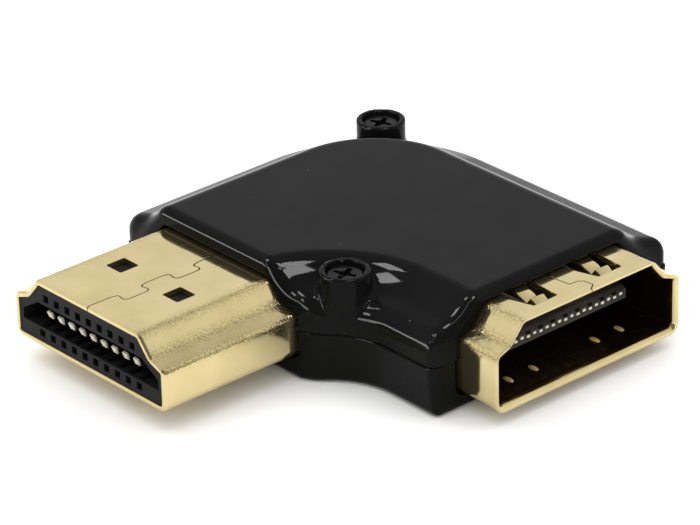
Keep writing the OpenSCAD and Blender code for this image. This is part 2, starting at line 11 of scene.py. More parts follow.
import bmesh
import bpy
import numpy as np
from mathutils import Matrix, Quaternion, Vector

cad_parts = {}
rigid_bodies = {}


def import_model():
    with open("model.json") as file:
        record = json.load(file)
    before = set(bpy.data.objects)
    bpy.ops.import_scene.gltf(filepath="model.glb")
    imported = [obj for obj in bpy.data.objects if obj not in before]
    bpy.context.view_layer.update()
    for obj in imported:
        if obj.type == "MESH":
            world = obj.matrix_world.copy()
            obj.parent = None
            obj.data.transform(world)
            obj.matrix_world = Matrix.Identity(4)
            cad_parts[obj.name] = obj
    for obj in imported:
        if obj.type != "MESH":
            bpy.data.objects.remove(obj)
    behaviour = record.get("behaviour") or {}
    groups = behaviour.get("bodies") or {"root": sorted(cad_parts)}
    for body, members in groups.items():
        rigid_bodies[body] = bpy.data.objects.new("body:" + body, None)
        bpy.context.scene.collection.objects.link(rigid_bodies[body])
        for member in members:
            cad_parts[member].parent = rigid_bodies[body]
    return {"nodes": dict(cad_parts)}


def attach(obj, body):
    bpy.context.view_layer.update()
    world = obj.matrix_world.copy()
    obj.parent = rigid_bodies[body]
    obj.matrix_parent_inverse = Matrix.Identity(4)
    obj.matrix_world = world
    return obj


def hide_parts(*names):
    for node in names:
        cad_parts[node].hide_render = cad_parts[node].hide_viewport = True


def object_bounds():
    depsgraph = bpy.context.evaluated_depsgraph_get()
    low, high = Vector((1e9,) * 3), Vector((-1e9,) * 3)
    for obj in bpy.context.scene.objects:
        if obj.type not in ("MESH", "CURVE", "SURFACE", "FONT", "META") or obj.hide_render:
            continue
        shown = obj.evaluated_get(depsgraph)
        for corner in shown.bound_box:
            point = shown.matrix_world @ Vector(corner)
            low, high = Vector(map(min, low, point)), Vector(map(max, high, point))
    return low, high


MM = 0.001

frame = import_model()
cad_low, cad_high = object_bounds()
nodes = frame["nodes"]

# sizes that the new pieces share with the solids, in millimetres
AXIS_H = 3.6
PLUG_FACE = -11.75
PLUG_TIP = -21.5
PLUG_ROOT = -6.75
JACK_FACE = 16.3
JACK_TIP = 19.39
JACK_ROOT = 8.1
SHEET = 0.35
JOINT_H = 3.3
BODY_H = 7.0
PLUG_H = 4.4
JACK_H = 5.25


def connector_corners(w, h, narrow, knee_w, knee_h, bend):
    """The outline of both connectors: wide below, narrow on top, a hollow knee in each slant.
    Across and up are measured from the connector's centre line."""
    return [(-w / 2, -h / 2), (w / 2, -h / 2), (w / 2, bend), (knee_w / 2, knee_h),
            (narrow / 2, h / 2), (-narrow / 2, h / 2), (-knee_w / 2, knee_h), (-w / 2, bend)]


PLUG_CORNERS = connector_corners(13.9, PLUG_H, 9.44, 11.5, 1.0, 0.56)
JACK_CORNERS = connector_corners(14.7, JACK_H, 10.5, 12.6, 1.38, 1.0)
CORNER_RADII = [0.6, 0.6, 0.5, 0.5, 0.55, 0.55, 0.5, 0.5]
KNEES = (3, 6)


# shader helpers

def new_group(name, inputs, outputs):
    """A shader node group with named sockets; returns the tree and its two end nodes."""
    tree = bpy.data.node_groups.new(name, "ShaderNodeTree")
    kinds = {"float": "NodeSocketFloat", "vector": "NodeSocketVector"}
    for label, kind, value in inputs:
        socket = tree.interface.new_socket(label, in_out="INPUT", socket_type=kinds[kind])
        socket.default_value = value
    for label, kind in outputs:
        tree.interface.new_socket(label, in_out="OUTPUT", socket_type=kinds[kind])
    return tree, tree.nodes.new("NodeGroupInput"), tree.nodes.new("NodeGroupOutput")


def add(tree, kind, settings=None, **sockets):
    """A node with its settings and its sockets' values or links, by name or as i and a number."""
    node = tree.nodes.new(kind)
    for key, value in (settings or {}).items():
        setattr(node, key, value)
    for key, value in sockets.items():
        target = node.inputs[int(key[1:])] if key[0] == "i" and key[1:].isdigit() else node.inputs[key]
        if isinstance(value, bpy.types.NodeSocket):
            tree.links.new(value, target)
        else:
            target.default_value = value
    return node


def connect(tree, node, **sources):
    """Links each source to the node's input of that name, with an underscore for a space."""
    for label, source in sources.items():
        tree.links.new(source, node.inputs[label.replace("_", " ")])


def math_node(tree, operation, a, b=0.0):
    """The result of one sum, product or comparison of two values or sockets."""
    return add(tree, "ShaderNodeMath", {"operation": operation}, i0=a, i1=b).outputs[0]


def spread(tree, value, low, high, to_low=0.0, to_high=1.0):
    """Carries a value from the range low to high over to another range, and holds it at its ends."""
    limits = {"From Min": low, "From Max": high, "To Min": to_low, "To Max": to_high}
    return add(tree, "ShaderNodeMapRange", Value=value, **limits).outputs[0]


def two_tone(tree, fac, low, high, dark, light):
    """A colour that goes from dark to light while fac goes from low to high."""
    ramp = add(tree, "ShaderNodeValToRGB", Fac=fac)
    ramp.color_ramp.elements[0].position = low
    ramp.color_ramp.elements[0].color = (*dark, 1)
    ramp.color_ramp.elements[1].position = high
    ramp.color_ramp.elements[1].color = (*light, 1)
    return ramp.outputs[0]


def mix_colours(tree, share, first, second, blend="MIX"):
    """The first colour with this share of the second one, mixed in or multiplied."""
    settings = {"data_type": "RGBA", "blend_type": blend}
    return add(tree, "ShaderNodeMix", settings, Factor=share, i6=first, i7=second).outputs[2]


def lacquer_surface():
    """Slow waves and fine peel of a sprayed lacquer: two noises summed into a height,
    and a third one that varies the gloss."""
    tree, gin, gout = new_group("lacquer_surface", [
        ("Coordinate", "vector", (0, 0, 0)), ("Wave Scale", "float", 500.0),
        ("Peel Scale", "float", 3000.0), ("Peel Share", "float", 0.3),
        ("Gloss Low", "float", 0.1), ("Gloss High", "float", 0.2)],
        [("Height", "float"), ("Roughness", "float"), ("Patches", "float")])
    given = gin.outputs
    place = given["Coordinate"]
    wave = add(tree, "ShaderNodeTexNoise", Vector=place, Scale=given["Wave Scale"], Detail=2.0)
    peel = add(tree, "ShaderNodeTexNoise", Vector=place, Scale=given["Peel Scale"], Detail=3.0)
    fine = math_node(tree, "MULTIPLY", peel.outputs[0], given["Peel Share"])
    height = math_node(tree, "ADD", wave.outputs[0], fine)
    patch = add(tree, "ShaderNodeTexNoise", Vector=place, Scale=260.0, Detail=5.0, Roughness=0.65)
    rough = spread(tree, patch.outputs[0], 0.35, 0.65, given["Gloss Low"], given["Gloss High"])
    connect(tree, gout, Height=height, Roughness=rough, Patches=patch.outputs[0])
    return tree


def rolled_grain():
    """Grain of plated sheet: a noise stretched along the roll direction for height and
    gloss, with broad cloudy changes of tone."""
    tree, gin, gout = new_group("rolled_grain", [
        ("Coordinate", "vector", (0, 0, 0)), ("Stretch", "vector", (1, 1, 1)),
        ("Grain Scale", "float", 4000.0), ("Gloss Low", "float", 0.15), ("Gloss High", "float", 0.25)],
        [("Height", "float"), ("Roughness", "float"), ("Tone", "float")])
    given = gin.outputs
    rolled = add(tree, "ShaderNodeVectorMath", {"operation": "MULTIPLY"},
                 i0=given["Coordinate"], i1=given["Stretch"]).outputs[0]
    grain = add(tree, "ShaderNodeTexNoise", Vector=rolled, Scale=given["Grain Scale"], Detail=4.0)
    cloud = add(tree, "ShaderNodeTexNoise", Vector=given["Coordinate"], Scale=420.0, Detail=3.0)
    rough = spread(tree, grain.outputs[0], 0.3, 0.7, given["Gloss Low"], given["Gloss High"])
    connect(tree, gout, Height=grain.outputs[0], Roughness=rough, Tone=cloud.outputs[0])
    return tree


def dust_specks():
    """Rare pale specks: the middles of a few cells of a fine pattern, picked by their colour."""
    tree, gin, gout = new_group("dust_specks", [
        ("Coordinate", "vector", (0, 0, 0)), ("Scale", "float", 2500.0), ("Amount", "float", 0.1)],
        [("Mask", "float")])
    given = gin.outputs
    cells = add(tree, "ShaderNodeTexVoronoi", Vector=given["Coordinate"], Scale=given["Scale"])
    near = spread(tree, cells.outputs["Distance"], 0.14, 0.04)
    pick = add(tree, "ShaderNodeSeparateColor", Color=cells.outputs["Color"])
    rare = math_node(tree, "LESS_THAN", pick.outputs[0], given["Amount"])
    connect(tree, gout, Mask=math_node(tree, "MULTIPLY", near, rare))
    return tree


def fold_mask():
    """One along the folds of a connector's shell and fading beside them: the nearest distance
    to three lines that run along the shell, each given by its way across and its height."""
    tree, gin, gout = new_group("fold_mask", [
        ("Coordinate", "vector", (0, 0, 0)), ("Narrow Edge", "vector", (0, 0, 0)),
        ("Knee", "vector", (0, 0, 0)), ("Wide Edge", "vector", (0, 0, 0)), ("Width", "float", 0.0005)],
        [("Mask", "float")])
    given = gin.outputs
    nearest = None
    for label in ("Narrow Edge", "Knee", "Wide Edge"):
        away = add(tree, "ShaderNodeVectorMath", {"operation": "DISTANCE"},
                   i0=given["Coordinate"], i1=given[label]).outputs["Value"]
        nearest = away if nearest is None else math_node(tree, "MINIMUM", nearest, away)
    fade = math_node(tree, "SUBTRACT", 1.0, math_node(tree, "DIVIDE", nearest, given["Width"]))
    connect(tree, gout, Mask=math_node(tree, "MAXIMUM", fade, 0.0))
    return tree


LACQUER = lacquer_surface()
GRAIN = rolled_grain()
SPECKS = dust_specks()
FOLDS = fold_mask()


def new_material(name):
    """A material, its node tree, its shader and the place on the piece that patterns read."""
    material = bpy.data.materials.new(name)
    material.use_nodes = True
    tree = material.node_tree
    return material, tree, tree.nodes["Principled BSDF"], add(tree, "ShaderNodeTexCoord").outputs["Object"]


def group_node(tree, group, place, **values):
    """A node group placed in a material, reading this place, with its own values."""
    node = tree.nodes.new("ShaderNodeGroup")
    node.node_tree = group
    connect(tree, node, Coordinate=place)
    for key, value in values.items():
        node.inputs[key.replace("_", " ")].default_value = value
    return node


def soft_edges(tree, shader, height, depth, radius):
    """Normal of the shader: edges rounded by a small radius, then the height as a bump."""
    bump = add(tree, "ShaderNodeBump", Height=height, Strength=1.0, Distance=depth * MM)
    if radius:
        bevel = add(tree, "ShaderNodeBevel", {"samples": 4}, Radius=radius * MM)
        connect(tree, bump, Normal=bevel.outputs[0])
    connect(tree, shader, Normal=bump.outputs[0])


# materials

SPECK_SHARE = 0.012
SPECK_TONE = (0.16, 0.155, 0.15, 1)
FOLD_WIDTH = 0.6
FOLD_HEIGHT = 22.0
FOLD_WEAR = 0.62
FOLD_TONE = (0.42, 0.38, 0.26, 1)
MOULDED_EDGE = 0.03
MOULDED_IOR = 1.2


def lacquer_material(name, dark, light, gloss, peel, edge, ior):
    """Sprayed lacquer or an oxide skin: two dark tones and two glosses in slow patches, rare
    pale specks, and waves with fine peel as its bump."""
    material, tree, shader, place = new_material(name)
    skin = group_node(tree, LACQUER, place, Gloss_Low=gloss[0], Gloss_High=gloss[1])
    specks = group_node(tree, SPECKS, place, Amount=SPECK_SHARE)
    base = two_tone(tree, skin.outputs["Patches"], 0.35, 0.7, dark, light)
    speckled = mix_colours(tree, specks.outputs[0], base, SPECK_TONE)
    connect(tree, shader, Base_Color=speckled, Roughness=skin.outputs["Roughness"])
    shader.inputs["IOR"].default_value = ior
    soft_edges(tree, shader, skin.outputs["Height"], peel, edge)
    return material


def fold_grain(tree, place, across, corners):
    """The fine grain that bending leaves in the plating, from zero to one, for a shell whose
    width runs along x or y. The corners are the outline's narrow edge, knee and wide edge."""
    parts = add(tree, "ShaderNodeSeparateXYZ", Vector=place)
    side = math_node(tree, "ABSOLUTE", parts.outputs[across])
    height = math_node(tree, "SUBTRACT", parts.outputs["Z"], AXIS_H * MM)
    section = add(tree, "ShaderNodeCombineXYZ", X=side, Z=height).outputs[0]
    lines = [(a * MM, 0, b * MM) for a, b in corners]
    mask = group_node(tree, FOLDS, section, Narrow_Edge=lines[0], Knee=lines[1], Wide_Edge=lines[2],
                      Width=FOLD_WIDTH * MM)
    grain = add(tree, "ShaderNodeTexNoise", Vector=place, Scale=7500.0, Detail=2.0)
    crisp = spread(tree, grain.outputs[0], 0.42, 0.62)
    return math_node(tree, "MULTIPLY", crisp, mask.outputs[0])


def plated_material(name, dark, light, gloss, stretch, depth, edge=0.05, metallic=0.97, folds=None):
    """Gold plating: two tones in clouds and grain stretched the way the sheet was rolled. Along
    folds, where they are given, a crisp grain stands up and darkens the plating."""
    material, tree, shader, place = new_material(name)
    sheet = group_node(tree, GRAIN, place, Gloss_Low=gloss[0], Gloss_High=gloss[1], Stretch=stretch)
    height = sheet.outputs["Height"]
    colour = two_tone(tree, sheet.outputs["Tone"], 0.3, 0.7, dark, light)
    if folds:
        grain = fold_grain(tree, place, *folds)
        height = math_node(tree, "ADD", height, math_node(tree, "MULTIPLY", grain, FOLD_HEIGHT))
        worn = math_node(tree, "MULTIPLY", grain, FOLD_WEAR)
        colour = mix_colours(tree, worn, colour, FOLD_TONE, "MULTIPLY")
    connect(tree, shader, Base_Color=colour, Roughness=sheet.outputs["Roughness"])
    shader.inputs["Metallic"].default_value = metallic
    soft_edges(tree, shader, height, depth, edge)
    return material


def shade_along_y(material, start, stop, shade):
    """Multiplies a material's colour by a shade beyond a place along the y axis, for the
    part of a piece that lies in the dark of its channel."""
    tree = material.node_tree
    shader = tree.nodes["Principled BSDF"]
    place = add(tree, "ShaderNodeTexCoord").outputs["Object"]
    way = add(tree, "ShaderNodeSeparateXYZ", Vector=place)
    share = spread(tree, way.outputs["Y"], start * MM, stop * MM)
    lit = shader.inputs["Base Color"].links[0].from_socket
    connect(tree, shader, Base_Color=mix_colours(tree, share, lit, (*shade, 1), "MULTIPLY"))


def moulded_material(name, dark, light, gloss, depth):
    """Moulded plastic: a finer and rougher skin than lacquer, in two tones."""
    material, tree, shader, place = new_material(name)
    skin = group_node(tree, LACQUER, place, Wave_Scale=900.0, Peel_Scale=6000.0, Peel_Share=0.8,
                      Gloss_Low=gloss[0], Gloss_High=gloss[1])
    colour = two_tone(tree, skin.outputs["Patches"], 0.3, 0.7, dark, light)
    connect(tree, shader, Base_Color=colour, Roughness=skin.outputs["Roughness"])
    shader.inputs["IOR"].default_value = MOULDED_IOR
    soft_edges(tree, shader, skin.outputs["Height"], depth, MOULDED_EDGE)
    return material


def shell_gold(name, stretch, across, corners):
    """The plating of a connector's shell, worn along the folds of this outline."""
    return plated_material(name, dark=(0.62, 0.51, 0.25), light=(0.7, 0.585, 0.31), gloss=(0.05, 0.11),
                           stretch=stretch, depth=0.0004, folds=(across, corners[4:1:-1]))


black_lacquer = lacquer_material(
    "black_lacquer", dark=(0.0045, 0.005, 0.0045), light=(0.007, 0.0075, 0.0068),
    gloss=(0.04, 0.09), peel=0.0025, edge=0, ior=1.13)
black_oxide = lacquer_material(
    "black_oxide", dark=(0.004, 0.004, 0.004), light=(0.009, 0.009, 0.0085),
    gloss=(0.1, 0.2), peel=0.004, edge=0.05, ior=1.16)
gold_along_plug = shell_gold("gold_along_plug", (1, 0.3, 1), "X", PLUG_CORNERS)
gold_along_jack = shell_gold("gold_along_jack", (0.3, 1, 1), "Y", JACK_CORNERS)
# painted shade: a much darker gold for the receptacle's inner faces behind the lip and below the springs,
# where little light gets in
gold_inside_painted_shade = plated_material(
    "gold_inside_painted_shade", dark=(0.1, 0.062, 0.024), light=(0.15, 0.097, 0.038),
    gloss=(0.16, 0.28), stretch=(0.12, 1, 1), depth=0.0006)
gold_contact = plated_material(
    "gold_contact", dark=(0.72, 0.66, 0.46), light=(0.85, 0.8, 0.62),
    gloss=(0.3, 0.42), stretch=(1, 1, 1), depth=0.0004, edge=0.02, metallic=0.4)
gold_dimple = plated_material(
    "gold_dimple", dark=(0.6, 0.43, 0.14), light=(0.8, 0.6, 0.24),
    gloss=(0.5, 0.6), stretch=(1, 1, 1), depth=0.004, edge=0, metallic=0.4)
# painted light and shade on the plug's contacts: the pale gold is partly their own colour and partly a
# painted highlight that makes the tips near the mouth look lit; further in, the colour is multiplied almost
# to black as painted shade
gold_tip_painted_light_and_shade = plated_material(
    "gold_tip_painted_light_and_shade", dark=(0.8, 0.75, 0.55), light=(0.92, 0.88, 0.7),
    gloss=(0.3, 0.42), stretch=(1, 1, 1), depth=0.0004, edge=0.02, metallic=0.4)
TIP_LIT, TIP_IN_SHADE = 0.42, 0.56
shade_along_y(gold_tip_painted_light_and_shade, PLUG_TIP + TIP_LIT, PLUG_TIP + TIP_IN_SHADE, shade=(0.02, 0.017, 0.01))
black_moulding = moulded_material(
    "black_moulding", dark=(0.006, 0.006, 0.006), light=(0.012, 0.012, 0.012),
    gloss=(0.42, 0.58), depth=0.002)
brown_moulding = moulded_material(
    "brown_moulding", dark=(0.03, 0.026, 0.023), light=(0.05, 0.044, 0.04),
    gloss=(0.4, 0.55), depth=0.002)
green_board = moulded_material(
    "green_board", dark=(0.02, 0.08, 0.035), light=(0.03, 0.12, 0.05),
    gloss=(0.3, 0.45), depth=0.001)


# mesh helpers

SHARP_ANGLE = 32


def set_material(obj, material):
    """One material on the whole mesh."""
    obj.data.materials.clear()
    obj.data.materials.append(material)


def place_piece(obj, material, replaces):
    """A piece's material, the body that it rides on and the solid that it stands for."""
    set_material(obj, material)
    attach(obj, "root")
    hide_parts(replaces)


def smooth_faces(mesh):
    """Smooth shading that keeps the edges sharper than SHARP_ANGLE, in degrees."""
    mesh.polygons.foreach_set("use_smooth", np.ones(len(mesh.polygons), bool))
    mesh.set_sharp_from_angle(angle=math.radians(SHARP_ANGLE))
    mesh.update()


def new_object(name, mesh):
    """An object for the mesh, in the scene, at the origin."""
    obj = bpy.data.objects.new(name, mesh)
    bpy.context.scene.collection.objects.link(obj)
    return obj


def mesh_from_arrays(name, points, faces):
    """points is an n x 3 array in millimetres, faces an m x 4 array of corner numbers."""
    mesh = bpy.data.meshes.new(name)
    mesh.vertices.add(len(points))
    mesh.vertices.foreach_set("co", (np.asarray(points, float) * MM).astype(np.float32).ravel())
    corners = faces.shape[1]
    mesh.loops.add(faces.size)
    mesh.loops.foreach_set("vertex_index", faces.astype(np.int32).ravel())
    mesh.polygons.add(len(faces))
    mesh.polygons.foreach_set("loop_start", np.arange(0, faces.size, corners, dtype=np.int32))
    mesh.update(calc_edges=True)
    mesh.validate()
    return mesh


def closed_mesh(name, points, faces):
    """A closed mesh from points in millimetres and faces of any number of corners, turned
    outwards."""
    mesh = bpy.data.meshes.new(name)
    mesh.from_pydata((points * MM).tolist(), [], faces)
    return outward_faces(mesh)


def ring_grid(rows, columns):
    """Faces of a grid that closes on itself both ways."""
    i, j = np.meshgrid(np.arange(rows), np.arange(columns), indexing="ij")
    a = i * columns + j
    b = i * columns + (j + 1) % columns
    c = ((i + 1) % rows) * columns + (j + 1) % columns
    d = ((i + 1) % rows) * columns + j
    return np.stack([a, b, c, d], -1).reshape(-1, 4)


def open_grid(rows, columns):
    """The same faces without the ones that join the last row to the first."""
    return ring_grid(rows, columns)[: (rows - 1) * columns].tolist()


def outward_faces(mesh):
    """Turns the faces of a closed mesh outwards."""
    bm = bmesh.new()
    bm.from_mesh(mesh)
    bmesh.ops.recalc_face_normals(bm, faces=bm.faces)
    bm.to_mesh(mesh)
    bm.free()
    return mesh


def prism(name, outline, low, high):
    """A cutter: an outline in x and y, in millimetres, stood up from low to high."""
    n = len(outline)
    points = np.vstack([np.column_stack([outline, np.full(n, height)]) for height in (low, high)])
    faces = [list(range(n)), list(range(n, 2 * n))]
    faces += [[k, (k + 1) % n, n + (k + 1) % n, n + k] for k in range(n)]
    return new_object(name, closed_mesh(name, points, faces))


def cut_away(obj, cutters):
    """Takes the cutters' room out of the object's mesh for good."""
    for cutter in cutters:
        cut = obj.modifiers.new("cut", "BOOLEAN")
        cut.operation, cut.solver, cut.object = "DIFFERENCE", "EXACT", cutter
    graph = bpy.context.evaluated_depsgraph_get()
    mesh = bpy.data.meshes.new_from_object(obj.evaluated_get(graph))
    obj.modifiers.clear()
    obj.data = mesh
    for cutter in cutters:
        bpy.data.objects.remove(cutter)


def join(name, objs):
    """One object from several, in one mesh."""
    bm = bmesh.new()
    for obj in objs:
        bm.from_mesh(obj.data)
        bpy.data.objects.remove(obj)
    mesh = bpy.data.meshes.new(name)
    bm.to_mesh(mesh)
    bm.free()
    return new_object(name, mesh)


def arc(centre, radius, start, stop, steps):
    """Points on an arc, angles in degrees."""
    a = np.radians(np.linspace(start, stop, steps))
    return np.column_stack([centre[0] + radius * np.cos(a), centre[1] + radius * np.sin(a)])


def smooth_path(points, steps, share):
    """A path with rounded bends: each inner corner becomes a quadratic arc that takes this
    share of its two sides."""
    p = np.asarray(points, float)
    t = np.linspace(0, 1, steps + 1)[:, None]
    out = [p[:1]]
    for k in range(1, len(p) - 1):
        start, stop = p[k] + (p[k - 1] - p[k]) * share, p[k] + (p[k + 1] - p[k]) * share
        out.append((1 - t) ** 2 * start + 2 * t * (1 - t) * p[k] + t ** 2 * stop)
    out.append(p[-1:])
    return np.vstack(out)


def strip_outline(path, width):
    """The two sides of a strip of this width along a path, as one closed outline. Each
    corner is moved along the mean of its two sides' normals, scaled so that the strip
    keeps its width."""
    p = np.asarray(path, float)
    d = np.diff(p, axis=0)
    d /= np.linalg.norm(d, axis=1)[:, None]
    n = np.column_stack([-d[:, 1], d[:, 0]])
    first, last = np.vstack([n[:1], n]), np.vstack([n, n[-1:]])
    mitre = (first + last) / (1 + (first * last).sum(1))[:, None]
    return np.vstack([p - mitre * width / 2, (p + mitre * width / 2)[::-1]])


def rounded_loop(corners, radii, steps, side_points=None):
    """Points, outward directions and tags along a closed outline with rounded corners.

    Each corner is an arc of its radius, tangent to both sides: its centre lies on the
    bisector at radius / sin(half angle), and the arc sweeps the outward direction from
    one side's to the next side's. side_points gives more points on the straight side
    after a corner, as distances from the side's middle. The tag is the corner's number,
    or half more than that on the side after it.
    """
    corners = np.asarray(corners, float)
    n = len(corners)
    points, outs, tags = [], [], []
    for k in range(n):
        before, at, after = corners[k - 1], corners[k], corners[(k + 1) % n]
        u = (at - before) / np.linalg.norm(at - before)
        w = (after - at) / np.linalg.norm(after - at)
        turn = u[0] * w[1] - u[1] * w[0]
        out_u, out_w = np.array([u[1], -u[0]]), np.array([w[1], -w[0]])
        angle = math.acos(np.clip(u @ w, -1, 1))
        sign = 1 if turn > 0 else -1
        centre = at - u * radii[k] * math.tan(angle / 2) - sign * out_u * radii[k]
        t = np.linspace(0, 1, steps + 1)[:, None]
        swept = math.atan2(out_u[1], out_u[0]) + sign * angle * t
        direction = np.hstack([np.cos(swept), np.sin(swept)])
        points.append(centre + sign * radii[k] * direction)
        outs.append(direction)
        tags += [k] * (steps + 1)
        middle = (at + after) / 2
        for s in (side_points or {}).get(k, []):
            points.append((middle + w * s)[None])
            outs.append(out_w[None])
            tags.append(k + 0.5)
    return np.vstack(points), np.vstack(outs), np.array(tags)


# folded shells

FOLD_STEPS = 8
SIDE_POINTS = {0: [-4, -2, 0, 2, 4], 4: [-3, -1.5, 0, 1.5, 3]}


def along_y(d, across, up):
    """Places on the plug: d runs along y, across is x, up is over the centre line."""
    return np.stack([across, d, up + AXIS_H], -1)


def along_x(d, across, up):
    """Places on the receptacle: d runs along x, across is y, up is over the centre line."""
    return np.stack([d, across, up + AXIS_H], -1)


def folded_tube(name, corners, profile, to_place, flare_at=None):
    """A tube of sheet round a connector's outline.

    profile is a closed line of (distance along, step outward) pairs: outside, round the
    front edge, inside and back. Each point of the tube is the outline's point plus its
    outward direction times that step. Where the step is positive it is scaled by
    flare_at, which takes the outline's outward directions and tags, so that the flare
    can differ from side to side.
    """
    loop, outs, tags = rounded_loop(corners, CORNER_RADII, FOLD_STEPS, SIDE_POINTS)
    share = flare_at(outs, tags) if flare_at else np.ones(len(loop))
    along, step = profile[:, 0][:, None], profile[:, 1][:, None]
    grown = np.where(step > 0, step * share[None], step)
    cross = loop[None] + outs[None] * grown[..., None]
    points = to_place(np.broadcast_to(along, grown.shape), cross[..., 0], cross[..., 1])
    faces = ring_grid(len(profile), len(loop))
    return new_object(name, outward_faces(mesh_from_arrays(name, points.reshape(-1, 3), faces)))


# plug shell

FRONT_OUTER_R, FRONT_INNER_R = 0.2, 0.08
LATCH_HALF, LATCH_R, LATCH_BACK, LATCH_CUT = 0.7, 0.12, 4.78, 0.6
LATCH_NARROW, LATCH_WIDE = 2.6, 3.5
TAB_START, TAB_REACH, TAB_FOOT, TAB_END = 0.1, 1.0, 0.82, 0.98
TAB_FIRST, TAB_PITCH, TAB_COUNT = 3.04, 3.85, 2
PLUG_SEAM_GAP, PLUG_SEAM_CUT = 0.08, (1, 3)
BEND_STEPS, TAB_EASE = 4, 0.3


def latch_hole(x, y, up):
    """The cutter of one square latch hole round a middle, its corners rounded."""
    low, high = np.array([x, y]) - LATCH_HALF, np.array([x, y]) + LATCH_HALF
    corners = [(low[0], low[1]), (high[0], low[1]), (high[0], high[1]), (low[0], high[1])]
    square = rounded_loop(corners, [LATCH_R] * 4, 3)[0]
    return prism("latch", square, AXIS_H + up - LATCH_CUT, AXIS_H + up + LATCH_CUT)


def plug_seam():
    """The cutter of the plug's seam: a thin strip from end to end along a line with two tabs,
    which widen from foot to end, and with every bend eased."""
    line = [(TAB_START, PLUG_TIP - 1)]
    for k in range(TAB_COUNT):
        middle = PLUG_TIP + TAB_FIRST + k * TAB_PITCH
        line += [(TAB_START, middle - TAB_FOOT), (TAB_REACH, middle - TAB_END),
                 (TAB_REACH, middle + TAB_END), (TAB_START, middle + TAB_FOOT)]
    line.append((TAB_START, PLUG_ROOT + 1))
    strip = strip_outline(smooth_path(line, BEND_STEPS, TAB_EASE), PLUG_SEAM_GAP)
    return prism("seam", strip, AXIS_H + PLUG_SEAM_CUT[0], AXIS_H + PLUG_SEAM_CUT[1])


def plug_shell_piece():
    """The plug's folded shell: a tube whose front edge is an arc outside and a smaller one
    inside, less four latch holes and a seam with two tabs."""
    front = -PLUG_TIP
    profile = np.vstack([
        [(-PLUG_ROOT, 0)], [(-PLUG_FACE, 0)],
        arc((front - FRONT_OUTER_R, -FRONT_OUTER_R), FRONT_OUTER_R, 90, 0, 6),
        arc((front - FRONT_INNER_R, -SHEET + FRONT_INNER_R), FRONT_INNER_R, 0, -90, 4),
        [(-PLUG_ROOT, -SHEET)]])
    profile[:, 0] *= -1
    obj = folded_tube("plug_shell_folded", PLUG_CORNERS, profile, along_y)
    holes = [latch_hole(side * reach, PLUG_TIP + LATCH_BACK, up)
             for reach, up in ((LATCH_NARROW, PLUG_H / 2), (LATCH_WIDE, -PLUG_H / 2)) for side in (1, -1)]
    cut_away(obj, holes + [plug_seam()])
    smooth_faces(obj.data)
    place_piece(obj, gold_along_plug, "plug_shell")


plug_shell_piece()


# receptacle shell, with places along x measured from its tip and heights from its centre line

LIP_SECTION = [(-0.95, 0), (-0.75, 0.01), (-0.56, 0.04), (-0.4, 0.085), (-0.27, 0.13), (-0.17, 0.165),
               (-0.09, 0.175), (-0.03, 0.16), (0, 0.12), (0, 0.03), (0, -0.06), (-0.015, -0.13),
               (-0.06, -0.2), (-0.13, -0.26), (-0.24, -0.315), (-0.4, -SHEET), (-0.7, -SHEET)]
KNEE_FLARE, LEAST_FLARE, WIDE_FLARE = 0.2, 0.15, 0.65
SPRING_Y = (2.6, -2.6)
WINDOW_FRONT, WINDOW_LENGTH, WINDOW_STEP = 0.94, 4.6, 1.6
WINDOW_HALF, WINDOW_LEFT, WINDOW_RIGHT = 0.95, 1.25, 1.45
WINDOW_RADII, WINDOW_CUT = [0.12, 0.12, 0.1, 0.1, 0.3], (2.0, 3.3)
JACK_SEAM = [(1, 0.2), (-0.1, 0.2), (-0.49, 0.73), (-1.13, 0.65), (-1.38, 0.39), (-1.42, -0.22),
             (-2.48, -0.34)]
JACK_SEAM_GAP, JACK_SEAM_CUT = 0.07, (1.2, 4)
SPRING_LINE = [(-5.74, -0.175), (-3.4, -0.175), (-2.5, -0.47), (-2.17, -0.66), (-1.8, -0.2), (-1.44, -0.43)]
SPRING_THICK, SPRING_HALF_W, SPRING_ASIDE, SPRING_EASE = 0.245, 0.5, 0.16, 0.14
ACROSS_POWER, UP_POWER = 0.25, 0.5
SPOT_Y, SPOT_BACK = (2.5, 4.5, -2.5, -4.5), 2.1
SPOT_LONG, SPOT_WIDE, SPOT_RISE, SPOT_SUNK = 0.42, 0.21, 0.14, 0.02
SPOT_ROWS, RING_POINTS = 7, 24
SPOT_MIDDLE, SPOT_REACH = (-SPOT_BACK, 3.5, -2.2), (0.5, 1.3, 0.07)
SHADE_BACK, SHADE_TOP, SHADE_FACING = 0.25, 2.2, 0.3


def lip_flare(outs, tags):
    """The share of the lip's flare: most along the wide side, fading with the outward
    direction round its two corners, little elsewhere."""
    below = np.clip(-outs[:, 1], 0, 1)
    return np.where(np.isin(tags, KNEES), KNEE_FLARE, LEAST_FLARE + WIDE_FLARE * below ** 2)


def spring_window(y):
    """The cutter of the window round one leaf spring: a tapered opening with a step in one
    side, its corners rounded."""
    front = JACK_TIP - WINDOW_FRONT
    back = front - WINDOW_LENGTH
    corners = [(front, y - WINDOW_HALF), (front, y + WINDOW_HALF), (back, y + WINDOW_LEFT),
               (back, y - WINDOW_RIGHT), (front - WINDOW_STEP, y - WINDOW_RIGHT)]
    window = rounded_loop(corners, WINDOW_RADII, 3)[0]
    return prism("window", window, AXIS_H + WINDOW_CUT[0], AXIS_H + WINDOW_CUT[1])


def jack_seam():
    """The cutter of the receptacle's seam: a thin strip along its interlocked line."""
    line = [(JACK_TIP + d, across) for d, across in JACK_SEAM]
    line.append((JACK_ROOT - 1, JACK_SEAM[-1][1]))
    strip = strip_outline(line, JACK_SEAM_GAP)
    return prism("seam", strip, AXIS_H + JACK_SEAM_CUT[0], AXIS_H + JACK_SEAM_CUT[1])


